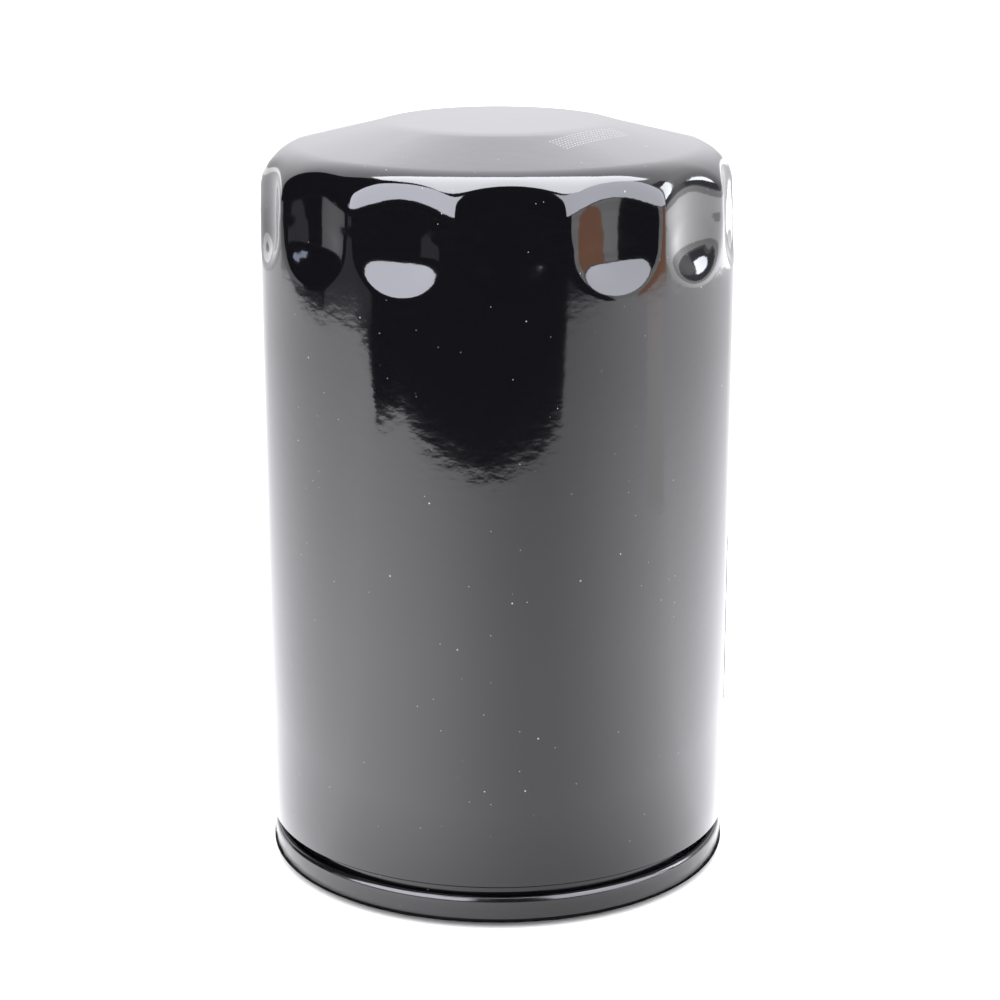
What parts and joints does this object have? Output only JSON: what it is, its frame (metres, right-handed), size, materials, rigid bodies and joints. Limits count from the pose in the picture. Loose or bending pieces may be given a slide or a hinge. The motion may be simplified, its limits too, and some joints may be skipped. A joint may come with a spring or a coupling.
{
  "type": "oil filter",
  "caption": "Spin-on oil filter: black fluted can with double-seamed base, threaded plate, gasket and a sprung paper element inside.",
  "frame": {"origin": "centre of the sealing gasket's bottom face, on the can's axis", "axes": "+Z along the can's axis, from the threaded base towards the domed end; -Y is the side the viewer faces, -Y to +X is anticlockwise seen from above; the label starts on the +X side"},
  "size_m": [0.0763, 0.0763, 0.1229],
  "materials": {
    "can_paint": "gloss black enamel",
    "lid_paint": "gloss black enamel",
    "seam_compound": "matt lining compound",
    "plate_steel": "zinc plated, stamped",
    "gasket_rubber": "moulded nitrile",
    "valve_rubber": "moulded silicone",
    "cap_steel": "tin plate",
    "cap_adhesive": "cured plastisol",
    "filter_paper": "resin-treated paper",
    "clip_steel": "folded strip",
    "tube_steel": "perforated sheet",
    "valve_steel": "zinc plated, stamped",
    "spring_steel": "drawn wire",
    "label_film": "satin film, blank"
  },
  "bodies": {
    "housing": {"canister": "can_paint", "seaming_lid": "lid_paint", "seam_sealant": "seam_compound", "base_plate": "plate_steel", "sealing_gasket": "gasket_rubber", "drain_back_collar": "valve_rubber", "element_spring": "spring_steel", "label": "label_film"},
    "element": {"lower_end_cap": "cap_steel", "lower_adhesive": "cap_adhesive", "pleated_media": "filter_paper", "media_seam_clip": "clip_steel", "center_tube": "tube_steel", "upper_adhesive": "cap_adhesive", "upper_end_cap": "cap_steel", "bypass_cage": "valve_steel", "bypass_spring": "spring_steel"},
    "bypass_valve": {"bypass_poppet": "valve_steel", "bypass_seal": "gasket_rubber", "seal_retainer": "valve_steel"},
    "drain_back_lip": {"drain_back_flap": "valve_rubber"}
  },
  "joints": [
    {"name": "element_float", "type": "slide", "parent": "housing", "child": "element", "axis": [0, 0, 1], "range_m": [0, 0.0015], "stiffness_N_per_m": 2500, "springref_m": -0.008, "deforming": ["element_spring"]},
    {"name": "bypass_open", "type": "slide", "parent": "element", "child": "bypass_valve", "axis": [0, 0, -1], "range_m": [0, 0.003], "stiffness_N_per_m": 3000, "springref_m": -0.004, "deforming": ["bypass_spring"]},
    {"name": "drain_back_lift", "type": "slide", "parent": "housing", "child": "drain_back_lip", "axis": [0, 0, 1], "range_m": [0, 0.0015], "stiffness_N_per_m": 200, "springref_m": -0.002}
  ]
}
